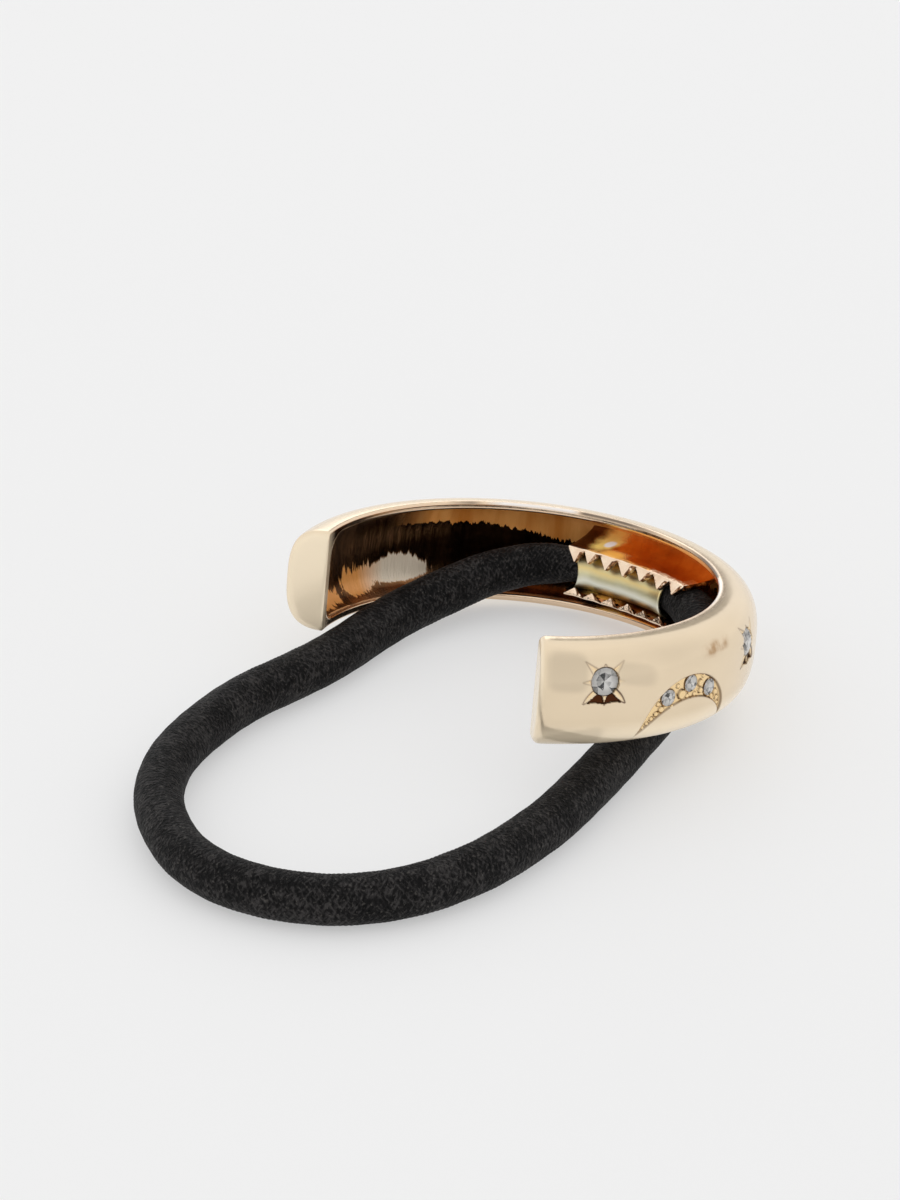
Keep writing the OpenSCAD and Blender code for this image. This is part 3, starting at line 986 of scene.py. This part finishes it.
def clampMaterial():
    # painted reflection: each tooth's right flank is painted dark and grainy, with painted bright specks
    material, shader = newMaterial("clampGold", (0.9, 0.66, 0.46), 1.0, 0.16)
    here = objectPoint(shader)
    cast = addNoise(here, 2600)
    color = ramp(addNoise(here, 900, 2), (0.3, 0.86, 0.62, 0.44), (0.7, 0.97, 0.79, 0.6))
    flank = compute("MULTIPLY_ADD", cast, 0.5, read(shader, "flank"))
    dark = ramp(cast, (0.42, 0.1, 0.04, 0.018), (0.56, 0.35, 0.17, 0.08), (0.66, 1.0, 0.8, 0.6))
    plug(shader, "Base Color", mixed(ramp(flank, (0.66, 0), (0.74, 1)), color, dark))
    plug(shader, "Roughness", ramp(addNoise(here, 3500), (0.3, 0.12), (0.75, 0.24)))
    addBump(shader, cast, 0.00008, 0.6)
    return material


def stampedMaterial():
    # painted reflection: the sheet's cut edges are dark, with bright specks
    material, shader = newMaterial("stampedEdge", (0.4, 0.2, 0.1), 1.0, 0.22)
    cast = addNoise(objectPoint(shader), 2600, 2)
    plug(shader, "Base Color", ramp(cast, (0.38, 0.06, 0.025, 0.012), (0.52, 0.3, 0.14, 0.06),
                                    (0.66, 0.95, 0.7, 0.5)))
    return material


def armMaterial():
    # painted light and shade: painted shade where it starts, then a painted glint and a painted golden glow,
    # then deep orange, the painted inter-reflection of the channel
    material, shader = newMaterial("armGold", (0.86, 0.42, 0.11), 1.0, 0.12)
    here = objectPoint(shader)
    along, share = read(shader, "along"), read(shader, "share")
    loose = compute("SUBTRACT", addNoise(here, 1100), 0.5)
    gloom = blob(along, share, (-4.6, 0.4), (2.6, 1.2), 0.25, loose)
    glow = blob(along, share, (-1.95, 0.55), (0.95, 0.5), 0.5, loose)
    # a painted lighter orange band along the fold
    paintedWarmLight = blob(along, share, (-0.2, 0.1), (1.2, 0.16), 0.6, loose)
    glint = blob(along, share, (-1.65, 0.45), (0.4, 0.13), 0.3)
    color = ramp(addNoise(here, 330), (0.3, 0.5, 0.2, 0.045), (0.5, 0.8, 0.38, 0.1), (0.7, 0.95, 0.55, 0.2))
    plug(shader, "Base Color", layered(color, (
        (gloom, (0.16, 0.07, 0.03, 1)),
        (glow, (1.0, 0.72, 0.2, 1)),
        (paintedWarmLight, (1.0, 0.5, 0.1, 1)),
        (glint, (1, 1, 1, 1)),
    )))
    plug(shader, "Metallic", mapped(most(glint, glow, paintedWarmLight), 0, 1, 1.0, 0.1))
    addBump(shader, addNoise(here, 500, 2), 0.0001, 0.4)
    return material


clampGold = clampMaterial()
armGold = armMaterial()
stampedEdge = stampedMaterial()
makeArm(clamp, "upper")
makeArm(clamp, "lower")


# ferrule

ferrule = {
    "start": -4.2,
    "end": 5.9,
    "mouth": 1.86,
    "waist": 1.62,
    "drop": 0.16,
    "wall": 0.2,
    "flare": 1.6,         # length over which each mouth widens, and how steeply
    "flareCurve": 1.6,
    "leftCut": 1.2,       # how far the front of the left mouth is cut back
    "sides": 48,
    "steps": 50,
    "lipSteps": 4,
    "lipRound": 0.05,     # how far the rims of the mouths stand out
    "squash": 0.06,       # how much larger the waist's radius is across than up
}


def makeFerrule(f, c):
    # the wall is one closed loop: out along the tube, round the mouth, and back inside
    length, steps, lip = f["end"] - f["start"], f["steps"], f["lipSteps"]
    corners = np.cumsum([0, steps, lip, steps, lip])
    bm = flatSheet(int(corners[-1]), f["sides"])

    def place(rows, columns):
        share = np.interp(rows, corners, (0, 1, 1, 0, 0))       # of the tube's length
        inside = np.interp(rows, corners, (0, 0, 1, 1, 0))      # share of the wall's thickness
        angle = 2 * math.pi * (columns % f["sides"]) / f["sides"]
        out, up = -np.cos(angle), np.sin(angle)
        fromEnd = length * np.minimum(share, 1 - share)
        flare = np.maximum(0, 1 - fromEnd / f["flare"]) ** f["flareCurve"]
        radius = f["waist"] + (f["mouth"] - f["waist"]) * flare - f["wall"] * inside
        radius += f["squash"] * (1 - flare) * (out * out - 0.5)
        tip = f["lipRound"] * (1 - np.abs(2 * inside - 1)) * (fromEnd < 0.001)
        along = f["start"] + length * share + np.copysign(tip, share - 0.5)
        along += f["leftCut"] * np.maximum(0, -out) ** 1.5 * (1 - share) ** 3
        return inClamp(c, along, radius * out, radius * up - f["drop"]), {"level": up}

    placeVerts(bm, place)
    weld(bm)
    piece = keepPiece(bm, "ferrule_tube", [ferruleMaterial()], ["ferrule"])
    print("ferrule", len(piece.data.polygons), "faces")


def ferruleMaterial():
    material, shader = newMaterial("ferruleBrass", (0.78, 0.72, 0.46), 1.0, 0.42)
    here = objectPoint(shader)
    # painted reflections: colour in bands by how far up round the tube, nearly cream a little below the
    # middle, yellow above it, darker at the bottom and the top
    level = compute("MULTIPLY_ADD", addNoise(here, 500, 2), 0.3, read(shader, "level"))
    plug(shader, "Base Color", ramp(
        mapped(level, -0.8, 1.2), (0.15, 0.5, 0.46, 0.3), (0.36, 0.85, 0.84, 0.72), (0.52, 0.72, 0.67, 0.43),
        (0.66, 0.84, 0.66, 0.3), (0.8, 0.7, 0.66, 0.42), (0.97, 0.42, 0.34, 0.18)))
    addBump(shader, addNoise(here, 3000), 0.00002, 0.3)
    return material


makeFerrule(ferrule, clamp)


# stones

stone = {                 # radii and heights are shares of a stone's size
    "rings": [            # corners, radius, height, and how far it is turned
        (8, 0.27, 0.03, 0),       # table
        (8, 0.41, -0.03, 0.5),
        (16, 0.5, -0.1, 0),       # girdle
        (16, 0.5, -0.13, 0),
        (8, 0.27, -0.23, 0.5),
    ],
    "culet": -0.29,
    "foilBelow": -0.2,    # facets that look down more than this are foil
    # painted reflections: brightness of the foil behind one facet after another
    "tones": [0.95, 0.15, 0.7, 0.0, 1.0, 0.4, 0.85, 0.3, 0.6, 0.2],
}


def stoneMaterials():
    glass, shader = newMaterial("stoneGlass", (1.0, 1.0, 1.0), 0.0, 0.02)
    shader.inputs["Transmission Weight"].default_value = 1.0
    shader.inputs["IOR"].default_value = 1.62
    fog = addNoise(objectPoint(shader), 900, 2)
    plug(shader, "Roughness", ramp(fog, (0.4, 0.01), (0.8, 0.06)))
    foil, shader = newMaterial("stoneFoil", (0.86, 0.87, 0.88), 0.2, 0.08)
    # the foil's colour is painted sparkle, dark and bright facets by their tone
    toneNoise = addNoise(objectPoint(shader), 2600, 2)
    shade = compute("MULTIPLY", compute("MULTIPLY_ADD", toneNoise, 0.5, read(shader, "tone")), 0.66)
    plug(shader, "Base Color", ramp(shade, (0.2, 0.02), (0.3, 0.5, 0.49, 0.48), (0.44, 1.0, 0.98, 0.95)))
    return glass, foil


glass, foil = stoneMaterials()


def makeStone(s, name, turn, height, size, spin):
    bm = bmesh.new()
    for count, radius, level, offset in s["rings"]:
        for k in range(count):
            angle = 2 * math.pi * (k + offset) / count + spin
            bm.verts.new((radius * size * math.cos(angle), radius * size * math.sin(angle), level * size))
    bm.verts.new((0, 0, s["culet"] * size))
    hull = bmesh.ops.convex_hull(bm, input=bm.verts[:])
    buried = [v for v in hull["geom_interior"] if isinstance(v, bmesh.types.BMVert)]
    bmesh.ops.delete(bm, geom=buried, context="VERTS")
    bmesh.ops.dissolve_limit(bm, angle_limit=math.radians(1), verts=bm.verts[:], edges=bm.edges[:])
    bmesh.ops.recalc_face_normals(bm, faces=bm.faces[:])
    tones = bm.faces.layers.float.new("tone")
    for k, face in enumerate(sorted(bm.faces, key=lambda f: math.atan2(*f.calc_center_median()[:2]))):
        face.material_index = 1 if face.normal.z < s["foilBelow"] else 0
        face[tones] = s["tones"][k * 3 % len(s["tones"])]
    spot = (restPose @ Matrix.Rotation(math.radians(-turn), 4, "Z")
            @ Matrix.Translation((0, cuff["innerRadius"] + float(crownAt(height)), height))
            @ Matrix.Rotation(crownLean(height) - math.pi / 2, 4, "X"))
    bmesh.ops.transform(bm, matrix=Matrix.Scale(mm, 4) @ spot, verts=bm.verts[:])
    keepPiece(bm, "cut_" + name, [glass, foil], [name], smooth=False)


for number, turn in enumerate(stars["turns"], 1):
    makeStone(stone, f"star_stone_{number}", turn, stars["rise"], stars["stone"], 0.3 * number)
for number, turn in enumerate(moons["turns"], 1):
    for hole, (stoneTurn, stoneHeight) in enumerate(moonStoneSpots(moons, turn), 1):
        makeStone(stone, f"moon_stone_{number}_{hole}", stoneTurn, stoneHeight, moons["stone"],
                  0.2 * number + 0.5 * hole)
print("stones set")


# floor and light

studio = {
    "floor": 0.45,
    "floorGlow": 0.42,    # keeps the contact shadows as light as on a lit table
    "keyPower": 0.25,
    "keySize": 1.5,
    "keyPlace": (-0.6, 0.5, 1.6),
    "keyAim": (0, -0.01, 0),
    "sky": [(0.0, 0.86), (0.5, 1.0), (0.62, 0.95), (1.0, 0.86)],    # brightness from below to overhead
    "glow": 0.1,          # a broad soft brightness round the key light
    "glowFrom": 0.4,
    # a small dark patch low behind the object, and a bright one beside it: where, cosine of size, level
    "patches": [
        ((-0.70, 0.65, 0.28), 0.985, 0.12), ((-0.79, 0.54, 0.26), 0.985, 1.9),
    ],
    "patchSoft": 0.006,
}


def addFloor(s):
    bm = bmesh.new()
    bmesh.ops.create_grid(bm, x_segments=1, y_segments=1, size=3.0)
    mesh = toMesh(bm, "floor")
    material, shader = newMaterial("floorPaper", (s["floor"],) * 3, 0.0, 0.75)
    shader.inputs["Emission Strength"].default_value = s["floorGlow"]
    mesh.materials.append(material)
    addObject("floor", mesh)


def addKeyLight(s):
    data = bpy.data.lights.new("key", "AREA")
    data.shape = "DISK"
    data.size = s["keySize"]
    data.energy = s["keyPower"]
    lamp = addObject("key", data)
    lamp.location = s["keyPlace"]
    lamp.rotation_euler = (lamp.location - Vector(s["keyAim"])).to_track_quat("Z", "Y").to_euler()


def addStudio(s):
    addFloor(s)
    addKeyLight(s)
    world = bpy.data.worlds.new("studio")
    bpy.context.scene.world = world
    world.use_nodes = True
    background = world.node_tree.nodes["Background"]
    where = addNode(background, "ShaderNodeTexCoord").outputs["Generated"]
    upward = addNode(where, "ShaderNodeSeparateXYZ", _0=where).outputs["Z"]

    def facing(direction):
        return vectorMath("DOT_PRODUCT", where, Vector(direction).normalized())

    glow = mapped(facing(s["keyPlace"]), s["glowFrom"], 1.0, 0.0, s["glow"], "SMOOTHERSTEP")
    bright = compute("ADD", ramp(mapped(upward, -1.0, 1.0), *s["sky"]), glow)
    for direction, size, level in s["patches"]:
        inside = mapped(facing(direction), size, size + s["patchSoft"], curve="SMOOTHSTEP")
        bright = addNode(where, "ShaderNodeMix", {"data_type": "FLOAT"}, _0=inside, _2=bright,
                         _3=level).outputs[0]
    plug(background, "Color", bright)


addStudio(studio)
print("studio ready")
